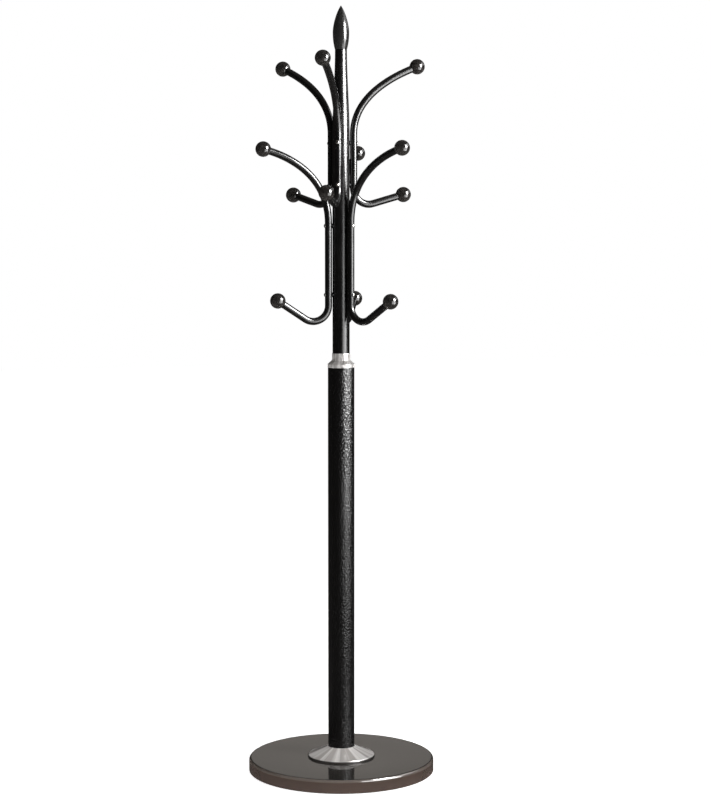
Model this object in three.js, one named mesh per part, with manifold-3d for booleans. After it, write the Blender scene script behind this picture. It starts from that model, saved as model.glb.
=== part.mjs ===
// Standing coat rack: a weighted round base, a two-part steel pole and a turning head
// that carries six bent rods, each with a long arm above and a short hook below.
// Millimetres, +Z up. The origin is on the floor, on the pole's axis, and +X runs out
// along one of the three upper rods.

import * as THREE from "three";
import { mergeVertices } from "three/addons/utils/BufferGeometryUtils.js";
import Module from "manifold-3d";

const wasm = await Module();
wasm.setup();

// ---------------------------------------------------------------- driving dimensions

const gap = 0.3;                     // between pieces that touch
const runningGap = 0.4;              // between pieces that turn on each other

// Base
const baseDiameter = 427;
const baseHeight = 32.4;             // floor to the top of the cover
const coverWall = 1.4;
const coverEdgeRadius = 6.5;
const skirtClearance = 1.4;          // floor to the lower edge of the cover
const padDiameter = 18;
const padHeight = 2.4;
const padCount = 4;
const weightSideGap = 1;             // weight to the inside of the cover's skirt
const weightRimWidth = 22;
const weightWeb = 5;
const weightBossDiameter = 70;
const baseBoltDiameter = 10;
const baseBoltHeadDiameter = 24;
const baseBoltHeadHeight = 6;
const baseBoltSink = 10;             // depth of the pocket for the bolt's head
const boltClearance = 0.6;           // on the radius of a bolt's hole

// Flange over the foot of the pole
const flangeDiameter = 154;
const flangeLip = 2.6;
const flangeBrimWidth = 11;          // the flatter ring outside the cone
const flangeBrimRise = 2.4;
const flangeRise = 24.5;
const flangeWall = 1.2;
const flangeBoreClearance = 0.5;

// Lower pole
const lowerPoleDiameter = 60.5;
const lowerPoleWall = 1.5;
const lowerPoleLength = 901.3;
const footPlugLength = 25;

// Reducer collar and the bearing under it
const collarRimProud = 0.45;         // of the lower pole's outside
const collarRimHeight = 8.7;
const collarFlareHeight = 8.3;
const collarNeckHeight = 15.7;
const collarNeckWall = 0.7;
const collarSpigotLength = 14;
const collarWall = 2.2;
const bushRingHeight = 12;
const bushSleeveWall = 3;
const bushFloor = 6;
const thrustWasherThickness = 2.5;

// Upper pole
const upperPoleDiameter = 39;
const upperPoleWall = 1.2;
const upperPoleExposed = 685.3;      // collar to finial
const upperPoleInsertion = 95;       // below the top of the lower pole
const poleTipDiameter = 27;
const poleTaperLength = 197;
const headPlugLength = 24;
const pivotBoltDiameter = 8;
const pivotBoltHeadDiameter = 15;
const pivotBoltHeadHeight = 5.5;

// Finial
const finialDiameter = 37;
const finialHeight = 98;
const finialWidestAt = 38;           // above its foot
const finialSpigotLength = 18;

// Rods: two sets of three, turned by half a step from each other
const rodDiameter = 16.5;
const rodWall = 1.2;
const rodsPerSet = 3;
const armReach = 182.3;              // pole axis to the centre of an arm's knob
const hookReach = 149.4;             // pole axis to the centre of a hook's knob
const hookBendRadius = 36;
const knobDiameter = 35;
const knobSeat = 15.4;               // knob's centre to the flat that the rod meets
const knobSpigotLength = 14;
const knobSpigotClearance = 0.9;

// A set's heights, and how its rods bend. armStart and armEnd are how far the arm's
// curve pulls straight up from its lower end and straight back from its knob.
const upperSet = {
  first: 0,
  knobToKnob: 290,
  armDrop: 155,
  armStart: 80,
  armEnd: 60,
  armSlope: 22.5,
  hookSlope: 16,
  armScrewBelowKnob: 176,
  hookScrewAboveKnob: 19,
};
const lowerSet = {
  first: 180 / rodsPerSet,
  knobToKnob: 340,
  armDrop: 165,
  armStart: 101,
  armEnd: 58,
  armSlope: 16,
  hookSlope: 33,
  armScrewBelowKnob: 172,
  hookScrewAboveKnob: 12,
};
const upperArmKnobDrop = 33;         // top of the pole to the upper arms' knobs
const lowerHookKnobRise = 121.3;     // top of the collar to the lower hooks' knobs

// Screws and rivet nuts that hold the rods to the pole
const nutFlangeThickness = 1.5;
const nutFlangeDiameter = 11;
const nutBodyDiameter = 7.6;
const nutBodyLength = 9;
const nutHoleClearance = 0.45;
const screwDiameter = 4.2;
const screwClearance = 0.6;
const screwHeadDiameter = 8.6;
const screwHeadHeight = 2.4;
const screwTail = 7;                 // past the pole's outside, into the nut

// Facets round each kind of turned piece
const baseFacets = 36;
const poleFacets = 24;
const knobFacets = 10;
const rodFacets = 8;
const screwFacets = 8;

// ---------------------------------------------------------------- derived places

const coverInside = baseHeight - coverWall - gap;
const weightRadius = baseDiameter / 2 - coverWall - weightSideGap;
const weightBottom = padHeight + gap;
const lowerPoleBottom = baseHeight + gap;
const lowerPoleTop = lowerPoleBottom + lowerPoleLength;
const lowerPoleInside = lowerPoleDiameter / 2 - lowerPoleWall;
const collarFoot = lowerPoleTop + gap;
const collarTop = lowerPoleTop + collarRimHeight + collarFlareHeight + collarNeckHeight;
const upperPoleBottom = lowerPoleTop - upperPoleInsertion;
const poleTop = collarTop + upperPoleExposed;
const turningBore = upperPoleDiameter / 2 + runningGap;
const thrustWasherBottom = upperPoleBottom - gap - thrustWasherThickness;
const bushFloorTop = thrustWasherBottom - gap;
const bushFloorBottom = bushFloorTop - bushFloor;
const bushTop = lowerPoleTop - collarSpigotLength - gap;
const nutStandoff = nutFlangeThickness + 2 * gap;
const rodAxis = upperPoleDiameter / 2 + nutStandoff + rodDiameter / 2;
const screwSeat = rodAxis + rodDiameter / 2 + gap;

const upperArmKnobZ = poleTop - upperArmKnobDrop;
const lowerHookKnobZ = collarTop + lowerHookKnobRise;

// ---------------------------------------------------------------- materials

const finish = (color, roughness, metalness) => (
  new THREE.MeshStandardMaterial({ color, roughness, metalness })
);
const finishes = {
  castIron: finish("#4a4a4c", 0.8, 0.6),
  rubber: finish("#1a1a1a", 0.9, 0),
  gunmetal: finish("#5c5855", 0.3, 0.4),
  black: finish("#1b1b1b", 0.35, 0.2),
  chrome: finish("#d2d0cc", 0.12, 1),
  knob: finish("#2f2c2a", 0.2, 0.2),
  zinc: finish("#a8a8a6", 0.4, 0.9),
  nylon: finish("#e4e0d6", 0.6, 0),
};

// ---------------------------------------------------------------- shape helpers

// A turned piece about Z. The profile is [radius, height] pairs that run up the outside
// and back down the inside, so a ring ends where it starts.
function turned(profile, facets) {
  const points = profile.map(([radius, height]) => new THREE.Vector2(radius, height));
  return new THREE.LatheGeometry(points, facets).rotateX(Math.PI / 2);
}

function turnedRing(profile, facets) {
  return turned([...profile, profile[0]], facets);
}

// Points on a quarter round from one end to the other, both ends included.
function roundCorner(centreR, centreZ, radius, fromDegrees, toDegrees, steps) {
  const points = [];
  for (let step = 0; step <= steps; step += 1) {
    const angle = THREE.MathUtils.degToRad(fromDegrees + (toDegrees - fromDegrees) * step / steps);
    points.push([centreR + radius * Math.cos(angle), centreZ + radius * Math.sin(angle)]);
  }
  return points;
}

// Points along a plane curve, as [radius, height] pairs.
function along(curve, steps) {
  return curve.getPoints(steps).map((point) => [point.x, point.y]);
}

// A closed mesh as a solid that can be cut.
function toSolid(geometry) {
  const bare = geometry.clone();
  bare.deleteAttribute("normal");
  bare.deleteAttribute("uv");
  const merged = mergeVertices(bare, 1e-4);
  const corners = merged.index.array;
  const triangles = [];
  for (let at = 0; at < corners.length; at += 3) {
    const [a, b, c] = corners.slice(at, at + 3);
    if (a !== b && b !== c && c !== a) triangles.push(a, b, c);
  }
  return new wasm.Manifold(new wasm.Mesh({
    numProp: 3,
    vertProperties: new Float32Array(merged.attributes.position.array),
    triVerts: new Uint32Array(triangles),
  }));
}

function fromSolid(solid) {
  const mesh = solid.getMesh();
  const geometry = new THREE.BufferGeometry();
  geometry.setAttribute("position", new THREE.BufferAttribute(mesh.vertProperties, 3));
  geometry.setIndex(new THREE.BufferAttribute(mesh.triVerts, 1));
  return geometry;
}

function cut(geometry, cutters) {
  let solid = toSolid(geometry);
  for (const cutter of cutters) solid = solid.subtract(toSolid(cutter));
  return fromSolid(solid);
}

// A drill along X, from one radius to another, at a height.
function radialDrill(diameter, fromRadius, toRadius, height) {
  return new THREE.CylinderGeometry(diameter / 2, diameter / 2, toRadius - fromRadius, screwFacets)
    .rotateZ(Math.PI / 2)
    .translate((fromRadius + toRadius) / 2, 0, height);
}

function piece(name, geometry, material) {
  const mesh = new THREE.Mesh(geometry, material);
  mesh.name = name;
  return mesh;
}

// ---------------------------------------------------------------- base

function baseCover() {
  const outside = baseDiameter / 2;
  const inside = outside - coverWall;
  const bore = baseBoltDiameter / 2 + boltClearance;
  const cornerR = outside - coverEdgeRadius;
  const cornerZ = baseHeight - coverEdgeRadius;
  return turnedRing([
    [inside, skirtClearance],
    [outside, skirtClearance],
    ...roundCorner(cornerR, cornerZ, coverEdgeRadius, 0, 90, 3),
    [bore, baseHeight],
    [bore, baseHeight - coverWall],
    ...roundCorner(cornerR, cornerZ, coverEdgeRadius - coverWall, 90, 0, 2),
  ], baseFacets);
}

function baseWeight() {
  const bore = baseBoltDiameter / 2 + boltClearance;
  const pocket = baseBoltHeadDiameter / 2 + 1.5;
  const pocketTop = weightBottom + baseBoltSink;
  const rimInside = weightRadius - weightRimWidth;
  const boss = weightBossDiameter / 2;
  return turnedRing([
    [pocket, weightBottom],
    [weightRadius, weightBottom],
    [weightRadius, coverInside - coverEdgeRadius],
    [weightRadius - coverEdgeRadius, coverInside],
    [rimInside, coverInside],
    [rimInside, weightBottom + weightWeb],
    [boss, weightBottom + weightWeb],
    [boss, coverInside],
    [bore, coverInside],
    [bore, pocketTop],
    [pocket, pocketTop],
  ], baseFacets);
}

function footPad() {
  return turned([
    [0, 0],
    [padDiameter / 2 - 1, 0],
    [padDiameter / 2, 1],
    [padDiameter / 2, padHeight],
    [0, padHeight],
  ], 16);
}

function baseBolt() {
  const headTop = weightBottom + baseBoltSink - gap;
  return turned([
    [0, headTop - baseBoltHeadHeight],
    [baseBoltHeadDiameter / 2, headTop - baseBoltHeadHeight],
    [baseBoltHeadDiameter / 2, headTop],
    [baseBoltDiameter / 2, headTop],
    [baseBoltDiameter / 2, lowerPoleBottom + footPlugLength + 3],
    [0, lowerPoleBottom + footPlugLength + 3],
  ], 12);
}

// A pressed cover of thin sheet: an upright lip, a nearly flat brim and a cone that
// climbs to the pole, open underneath.
function baseFlange() {
  const rim = flangeDiameter / 2;
  const bore = lowerPoleDiameter / 2 + flangeBoreClearance;
  const foot = baseHeight + gap;
  const lipTop = foot + flangeLip;
  const brimTop = lipTop + flangeBrimRise;
  const brimInside = rim - flangeBrimWidth;
  const crown = foot + flangeRise;
  return turnedRing([
    [rim - flangeWall, foot],
    [rim, foot],
    [rim, lipTop - 0.8],
    [rim - 0.8, lipTop],
    [brimInside, brimTop],
    [bore + flangeWall, crown],
    [bore, crown],
    [bore, crown - 2 * flangeWall],
    [brimInside - 0.4, brimTop - flangeWall],
    [rim - flangeWall, lipTop - flangeWall],
  ], baseFacets);
}

// ---------------------------------------------------------------- lower pole and bearing

function lowerPole() {
  const outside = lowerPoleDiameter / 2;
  return turnedRing([
    [lowerPoleInside, lowerPoleBottom],
    [outside, lowerPoleBottom],
    [outside, lowerPoleTop],
    [lowerPoleInside, lowerPoleTop],
  ], poleFacets);
}

function poleFootPlug() {
  const outside = lowerPoleInside - gap;
  const bore = baseBoltDiameter / 2 + boltClearance;
  return turnedRing([
    [bore, lowerPoleBottom],
    [outside, lowerPoleBottom],
    [outside, lowerPoleBottom + footPlugLength],
    [bore, lowerPoleBottom + footPlugLength],
  ], poleFacets);
}

function reducerCollar() {
  const rim = lowerPoleDiameter / 2 + collarRimProud;
  const neck = turningBore + collarNeckWall;
  const spigot = lowerPoleInside - gap;
  const rimTop = lowerPoleTop + collarRimHeight;
  const flareTop = rimTop + collarFlareHeight;
  const bevel = 0.6;
  return turnedRing([
    [spigot - collarWall, lowerPoleTop - collarSpigotLength],
    [spigot, lowerPoleTop - collarSpigotLength],
    [spigot, collarFoot],
    [rim - bevel, collarFoot],
    [rim, collarFoot + bevel],
    [rim, rimTop - bevel],
    [rim - bevel, rimTop],
    [neck + 1, flareTop - 1.2],
    [neck, flareTop + 0.6],
    [neck, collarTop],
    [turningBore, collarTop],
    [turningBore, flareTop - collarWall],
    [spigot - collarWall, rimTop - collarWall],
  ], poleFacets);
}

function swivelBush() {
  const ring = lowerPoleInside - gap;
  const sleeve = turningBore + bushSleeveWall;
  const bore = pivotBoltDiameter / 2 + boltClearance;
  return turnedRing([
    [bore, bushFloorBottom],
    [ring, bushFloorBottom],
    [ring, bushFloorBottom + bushRingHeight],
    [sleeve, bushFloorBottom + bushRingHeight],
    [sleeve, bushTop - bushRingHeight],
    [ring, bushTop - bushRingHeight],
    [ring, bushTop],
    [turningBore, bushTop],
    [turningBore, bushFloorTop],
    [bore, bushFloorTop],
  ], poleFacets);
}

function thrustWasher() {
  const bore = pivotBoltDiameter / 2 + boltClearance;
  return turnedRing([
    [bore, thrustWasherBottom],
    [turningBore - gap, thrustWasherBottom],
    [turningBore - gap, thrustWasherBottom + thrustWasherThickness],
    [bore, thrustWasherBottom + thrustWasherThickness],
  ], poleFacets);
}

// ---------------------------------------------------------------- turning pole

// Outside radius of the upper pole: straight, then swaged down in a smooth sweep.
function poleRadius(height) {
  const share = THREE.MathUtils.smoothstep(height, poleTop - poleTaperLength, poleTop);
  return THREE.MathUtils.lerp(upperPoleDiameter, poleTipDiameter, share) / 2;
}

function upperPole(nutHoles) {
  const steps = 5;
  const heights = [upperPoleBottom];
  for (let step = 0; step <= steps; step += 1) {
    heights.push(poleTop - poleTaperLength * (1 - step / steps));
  }
  const outside = heights.map((height) => [poleRadius(height), height]);
  const inside = heights.map((height) => [poleRadius(height) - upperPoleWall, height]).reverse();
  return cut(turnedRing([...outside, ...inside], poleFacets), nutHoles);
}

function headPlug() {
  const outside = upperPoleDiameter / 2 - upperPoleWall - gap;
  const bore = pivotBoltDiameter / 2 + boltClearance;
  return turnedRing([
    [bore, upperPoleBottom],
    [outside, upperPoleBottom],
    [outside, upperPoleBottom + headPlugLength],
    [bore, upperPoleBottom + headPlugLength],
  ], poleFacets);
}

function pivotBolt() {
  const headTop = bushFloorBottom - gap;
  return turned([
    [0, headTop - pivotBoltHeadHeight],
    [pivotBoltHeadDiameter / 2, headTop - pivotBoltHeadHeight],
    [pivotBoltHeadDiameter / 2, headTop],
    [pivotBoltDiameter / 2, headTop],
    [pivotBoltDiameter / 2, upperPoleBottom + headPlugLength + 3],
    [0, upperPoleBottom + headPlugLength + 3],
  ], 12);
}

function finial() {
  const foot = poleTop + gap;
  const tip = poleTop + finialHeight;
  const widest = poleTop + finialWidestAt;
  const belly = finialDiameter / 2;
  const footRadius = poleTipDiameter / 2 + 0.2;
  const spigot = poleTipDiameter / 2 - upperPoleWall - gap;
  const lower = new THREE.CubicBezierCurve(
    new THREE.Vector2(footRadius, foot),
    new THREE.Vector2(footRadius + 2.5, foot + 9),
    new THREE.Vector2(belly, widest - 18),
    new THREE.Vector2(belly, widest),
  );
  const upper = new THREE.CubicBezierCurve(
    new THREE.Vector2(belly, widest),
    new THREE.Vector2(belly, widest + 18),
    new THREE.Vector2(belly * 0.54, tip - 14),
    new THREE.Vector2(0, tip),
  );
  return turned([
    [0, foot - finialSpigotLength],
    [spigot, foot - finialSpigotLength],
    [spigot, foot],
    ...along(lower, 3),
    ...along(upper, 6).slice(1),
  ], 16);
}

// ---------------------------------------------------------------- rods and knobs

// A path through chosen stations, so that straight lengths take no extra steps.
class StationPath extends THREE.Curve {
  constructor(stations) {
    super();
    this.stations = stations;
  }

  station(share) {
    return this.stations[Math.round(share * (this.stations.length - 1))];
  }

  getPointAt(share, target = new THREE.Vector3()) {
    const { point } = this.station(share);
    return target.set(point.x, 0, point.y);
  }

  getTangentAt(share, target = new THREE.Vector3()) {
    const { tangent } = this.station(share);
    return target.set(tangent.x, 0, tangent.y).normalize();
  }
}

// A direction in the rod's plane that rises outward by an angle.
function rising(degrees) {
  const angle = THREE.MathUtils.degToRad(degrees);
  return new THREE.Vector2(Math.cos(angle), Math.sin(angle));
}

// The centre line of one rod in its own plane, and the places that its pieces take.
function rodLayout(set, armKnobZ) {
  const armDirection = rising(set.armSlope);
  const hookDirection = rising(set.hookSlope);
  const armKnob = new THREE.Vector2(armReach, armKnobZ);
  const hookKnob = new THREE.Vector2(hookReach, armKnobZ - set.knobToKnob);
  const rodEnd = knobSeat + gap;
  const armEnd = armKnob.clone().addScaledVector(armDirection, -rodEnd);
  const hookEnd = hookKnob.clone().addScaledVector(hookDirection, -rodEnd);
  const armRoot = new THREE.Vector2(rodAxis, armKnobZ - set.armDrop);

  // The hook's bend is an arc that leaves the upright and ends on the line to its knob.
  const slope = THREE.MathUtils.degToRad(set.hookSlope);
  const bendRun = rodAxis + hookBendRadius * (1 + Math.sin(slope));
  const bendEndZ = hookKnob.y - (hookReach - bendRun) * Math.tan(slope);
  const bendZ = bendEndZ + hookBendRadius * Math.cos(slope);

  const arm = new THREE.CubicBezierCurve(
    armEnd,
    armEnd.clone().addScaledVector(armDirection, -set.armEnd),
    new THREE.Vector2(rodAxis, armRoot.y + set.armStart),
    armRoot,
  );
  const upright = new THREE.LineCurve(armRoot, new THREE.Vector2(rodAxis, bendZ));
  const bend = new THREE.EllipseCurve(
    rodAxis + hookBendRadius, bendZ, hookBendRadius, hookBendRadius,
    Math.PI, 1.5 * Math.PI + slope,
  );
  const rise = new THREE.LineCurve(new THREE.Vector2(bendRun, bendEndZ), hookEnd);
  return {
    armKnob,
    hookKnob,
    screwHeights: [
      armKnob.y - set.armScrewBelowKnob,
      hookKnob.y + set.hookScrewAboveKnob,
    ],
    stretches: [[arm, 8], [upright, 1], [bend, 6], [rise, 1]],
  };
}

function stationsOf(stretches) {
  const stations = [];
  stretches.forEach(([curve, steps], order) => {
    for (let step = order === 0 ? 0 : 1; step <= steps; step += 1) {
      const share = step / steps;
      stations.push({ point: curve.getPoint(share), tangent: curve.getTangent(share) });
    }
  });
  return stations;
}

// A polygon whose flats, not corners, are at the radius, with a flat facing the pole.
function flatSided(outline, radius) {
  const corner = radius / Math.cos(Math.PI / rodFacets);
  for (let side = 0; side < rodFacets; side += 1) {
    const angle = 2 * Math.PI * (side + 0.5) / rodFacets;
    const [x, y] = [corner * Math.cos(angle), corner * Math.sin(angle)];
    if (side === 0) outline.moveTo(x, y);
    else outline.lineTo(x, y);
  }
  outline.closePath();
  return outline;
}

function rod(layout) {
  const section = flatSided(new THREE.Shape(), rodDiameter / 2);
  section.holes.push(flatSided(new THREE.Path(), rodDiameter / 2 - rodWall));
  const stations = stationsOf(layout.stretches);
  const tube = new THREE.ExtrudeGeometry(section, {
    extrudePath: new StationPath(stations),
    steps: stations.length - 1,
    bevelEnabled: false,
  });
  const hole = screwDiameter + 2 * screwClearance;
  return cut(tube, layout.screwHeights.map((height) => (
    radialDrill(hole, rodAxis - rodDiameter, rodAxis + rodDiameter, height)
  )));
}

// A ball about the origin with a flat and a spigot towards -Z, which the rod takes.
function knob() {
  const radius = knobDiameter / 2;
  const spigot = rodDiameter / 2 - rodWall - knobSpigotClearance;
  const seatAngle = THREE.MathUtils.radToDeg(Math.asin(-knobSeat / radius));
  return turned([
    [0, -knobSeat - knobSpigotLength],
    [spigot, -knobSeat - knobSpigotLength],
    [spigot, -knobSeat],
    ...roundCorner(0, 0, radius, seatAngle, 90, 5),
  ], knobFacets);
}

// A screw along Z with its head's seat at the origin and its tail towards -Z.
function screw() {
  const tail = screwSeat - upperPoleDiameter / 2 + screwTail;
  const head = screwHeadDiameter / 2;
  return turned([
    [0, -tail],
    [screwDiameter / 2, -tail],
    [screwDiameter / 2, 0],
    [head, 0],
    [head * 0.85, screwHeadHeight * 0.6],
    [0, screwHeadHeight],
  ], screwFacets);
}

// A rivet nut along Z: its flange stands on the pole's outside, at the origin.
function rivetNut() {
  const bore = screwDiameter / 2 + screwClearance;
  return turnedRing([
    [bore, -nutBodyLength],
    [nutBodyDiameter / 2, -nutBodyLength],
    [nutBodyDiameter / 2, gap],
    [nutFlangeDiameter / 2, gap],
    [nutFlangeDiameter / 2, gap + nutFlangeThickness],
    [bore, gap + nutFlangeThickness],
  ], screwFacets);
}

// ---------------------------------------------------------------- assembly

const stand = new THREE.Group();
stand.add(
  piece("base_cover", baseCover(), finishes.gunmetal),
  piece("base_weight", baseWeight(), finishes.castIron),
  piece("base_bolt", baseBolt(), finishes.zinc),
  piece("base_flange", baseFlange(), finishes.chrome),
  piece("lower_pole", lowerPole(), finishes.black),
  piece("pole_foot_plug", poleFootPlug(), finishes.zinc),
  piece("reducer_collar", reducerCollar(), finishes.chrome),
  piece("swivel_bush", swivelBush(), finishes.nylon),
  piece("thrust_washer", thrustWasher(), finishes.nylon),
);
for (let number = 0; number < padCount; number += 1) {
  const pad = piece(`foot_pad_${number + 1}`, footPad(), finishes.rubber);
  const turn = 2 * Math.PI * (number + 0.5) / padCount;
  const circle = weightRadius - weightRimWidth / 2;
  pad.position.set(circle * Math.cos(turn), circle * Math.sin(turn), 0);
  stand.add(pad);
}

const head = new THREE.Group();
const nutHoles = [];
let rodNumber = 0;

function addRodSet(set, armKnobZ) {
  const layout = rodLayout(set, armKnobZ);
  for (let index = 0; index < rodsPerSet; index += 1) {
    const turn = THREE.MathUtils.degToRad(set.first + index * 360 / rodsPerSet);
    const bracket = new THREE.Group();
    bracket.rotation.z = turn;
    rodNumber += 1;
    bracket.add(piece(`hook_rod_${rodNumber}`, rod(layout), finishes.black));

    for (const [kind, centre, slope] of [
      ["arm_knob", layout.armKnob, set.armSlope],
      ["hook_knob", layout.hookKnob, set.hookSlope],
    ]) {
      const ball = piece(`${kind}_${rodNumber}`, knob(), finishes.knob);
      ball.position.set(centre.x, 0, centre.y);
      ball.rotation.y = Math.PI / 2 - THREE.MathUtils.degToRad(slope);
      bracket.add(ball);
    }

    layout.screwHeights.forEach((height, which) => {
      const place = which === 0 ? "arm" : "hook";
      const bolt = piece(`${place}_screw_${rodNumber}`, screw(), finishes.zinc);
      bolt.position.set(screwSeat, 0, height);
      const nut = piece(`${place}_rivet_nut_${rodNumber}`, rivetNut(), finishes.zinc);
      nut.position.set(upperPoleDiameter / 2, 0, height);
      for (const part of [bolt, nut]) {
        part.rotation.y = Math.PI / 2;
        bracket.add(part);
      }
      const hole = nutBodyDiameter + 2 * nutHoleClearance;
      const inside = upperPoleDiameter / 2 - upperPoleWall - 3;
      nutHoles.push(radialDrill(hole, inside, rodAxis, height).rotateZ(turn));
    });
    head.add(bracket);
  }
}

addRodSet(upperSet, upperArmKnobZ);
addRodSet(lowerSet, lowerHookKnobZ + lowerSet.knobToKnob);
head.add(
  piece("upper_pole", upperPole(nutHoles), finishes.black),
  piece("head_plug", headPlug(), finishes.zinc),
  piece("pivot_bolt", pivotBolt(), finishes.zinc),
  piece("finial", finial(), finishes.black),
);

const group = new THREE.Group();
group.add(stand, head);

export default group;
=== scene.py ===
"""Standing coat rack: the finished pieces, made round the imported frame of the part.

Lengths are metres and the frame is the part's own: +Z up, the floor at zero, the pole on
the Z axis and one upper rod along +X.
"""

import math

import bmesh
import bpy
from bpy.props import FloatProperty, IntProperty, PointerProperty, StringProperty
from mathutils import Matrix, Vector


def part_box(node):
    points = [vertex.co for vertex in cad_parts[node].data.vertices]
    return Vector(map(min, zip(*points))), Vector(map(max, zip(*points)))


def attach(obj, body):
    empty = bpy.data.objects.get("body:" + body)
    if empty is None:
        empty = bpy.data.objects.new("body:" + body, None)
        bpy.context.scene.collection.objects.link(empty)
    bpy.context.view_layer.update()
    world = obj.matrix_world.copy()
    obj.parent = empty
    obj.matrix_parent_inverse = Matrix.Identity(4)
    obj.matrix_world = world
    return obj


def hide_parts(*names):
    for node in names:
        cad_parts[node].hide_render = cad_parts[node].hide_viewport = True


bl_info = {
    "name": "Standing Coat Rack",
    "version": (1, 0, 0),
    "blender": (4, 5, 0),
    "location": "3D View > Sidebar > Coat Rack",
    "description": "Builds a coat rack's turned, bent and moulded pieces and their finishes",
    "category": "Add Mesh",
}

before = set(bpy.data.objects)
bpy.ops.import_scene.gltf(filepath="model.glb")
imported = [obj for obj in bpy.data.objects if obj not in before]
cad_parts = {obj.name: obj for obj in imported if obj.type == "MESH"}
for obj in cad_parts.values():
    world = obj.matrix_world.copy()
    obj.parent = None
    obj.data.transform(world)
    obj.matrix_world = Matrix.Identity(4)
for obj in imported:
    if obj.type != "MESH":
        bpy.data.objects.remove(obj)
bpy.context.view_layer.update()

MM = 0.001
FULL_TURN = 2 * math.pi
SHARP_ANGLE = math.radians(32)       # edges sharper than this stay crisp when shaded
MERGE = 1e-6                         # points closer than this are one
GAP = 0.3 * MM                       # between a piece and the one it rests on
SLIP = 0.4 * MM                      # between a pole and the ring round it


# ------------------------------------------------------------------ sizes from the frame

def width_of(node):
    """Width of a CAD node along X."""
    low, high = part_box(node)
    return high.x - low.x


def bottom_of(node):
    """Height of a CAD node's lowest point."""
    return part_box(node)[0].z


def top_of(node):
    """Height of a CAD node's highest point."""
    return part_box(node)[1].z


POLE_TOP = top_of("upper_pole")
LOWER_POLE_TOP = top_of("lower_pole")
COLLAR_TOP = top_of("reducer_collar")


# ------------------------------------------------------------------ user sizes and colours

def length(name, text, default):
    """A length that the user can change, in metres."""
    return FloatProperty(
        name=name, description=text, default=default, subtype="DISTANCE", unit="LENGTH",
    )


def angle(name, text, degrees):
    """An angle that the user can change, given in degrees."""
    return FloatProperty(
        name=name, description=text, default=math.radians(degrees), subtype="ANGLE",
    )


def colour(name, text, default):
    """A colour that the user can change, as an sRGB hex value."""
    return StringProperty(name=name, description=text, default=default)


class BaseSettings(bpy.types.PropertyGroup):
    edge_radius: length("Edge radius", "Round of the shell's upper edge", 6.5 * MM)
    foot_radius: length("Foot radius", "Round of the shell's lower edge", 1.2 * MM)
    sheet: length("Sheet", "Thickness of the shell and of the flange", 1.4 * MM)
    brim_width: length("Brim width", "Flatter ring outside the flange's cone", 6.0 * MM)
    brim_rise: length("Brim rise", "Height that the brim gains from the lip to the cone", 2.6 * MM)
    lip_height: length("Lip height", "Upright edge of the flange", 3.8 * MM)
    enamel: colour("Enamel", "Colour of the base's top", "#353331")
    enamel_light: colour("Enamel flake", "Lighter colour in the base's top", "#3a3836")
    # edge is a painted highlight: a paler band on the rounded top edge that stands for the light it
    # catches.
    edge: colour("Painted edge sheen", "Painted highlight on the rounded top edge", "#6f6660")
    # side is a painted reflection: the upright side is coloured browner and paler than the top for
    # the warm surroundings that it reflects.
    side: colour("Enamel side", "Colour of the base's upright side", "#534640")
    chrome: colour("Chrome", "Colour of the bright trim", "#f2efed")
    # The foot colour below is painted shade: a dark line round the foot of the bright trim, where
    # it meets the piece below.
    painted_foot_shade: colour("Foot shade line", "Dark line round the foot of the bright trim", "#4b4846")


class PoleSettings(bpy.types.PropertyGroup):
    taper_length: length("Taper length", "Swaged length of the upper pole", 197 * MM)
    tip_diameter: length("Tip diameter", "Upper pole's outside at its top", 27 * MM)
    rim_height: length("Rim height", "Collar's band over the lower pole", 8.7 * MM)
    flare_height: length("Flare height", "Collar's slope between band and neck", 8.3 * MM)
    neck_wall: length("Neck wall", "Collar's wall round the upper pole", 0.7 * MM)
    finial_widest: length("Finial belly", "Finial's foot to its widest ring", 38 * MM)
    black: colour("Black", "Colour of the poles and rods", "#0b0b0b")
    finial: colour("Finial", "Colour of the finial", "#262626")


class RodSettings(bpy.types.PropertyGroup):
    diameter: length("Rod diameter", "Outside of the bent rods", 16.5 * MM)
    axis_radius: length("Rod axis", "Pole's axis to the upright of a rod", 29.85 * MM)
    arm_reach: length("Arm reach", "Pole's axis to the centre of an arm's ball", 182.3 * MM)
    hook_reach: length("Hook reach", "Pole's axis to the centre of a hook's ball", 149.4 * MM)
    bend_radius: length("Bend radius", "Radius of the hook's bend", 36 * MM)
    ball_diameter: length("Ball diameter", "Diameter of the ball knobs", 35 * MM)
    ball_seat: length("Ball seat", "Ball's centre to the flat that meets the rod", 15.4 * MM)
    ball: colour("Ball", "Colour of the ball knobs", "#121211")


class StageSettings(bpy.types.PropertyGroup):
    distance: length("Distance", "Camera to the pole's axis, along the floor", 4.566)
    height: length("Height", "Camera above the floor", 1.235)
    azimuth: angle("Azimuth", "Turn of the camera round the pole", -17.52)
    pan: angle("Pan", "Turn of the camera to the right of the pole", 0.412)
    tilt: angle("Tilt", "Turn of the camera below the horizon", 4.70)
    lens: FloatProperty(name="Lens", description="Focal length in millimetres", default=90.2)
    spin_steps: IntProperty(
        name="Spin steps", description="Facets round the turned pieces", default=128,
    )


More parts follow.
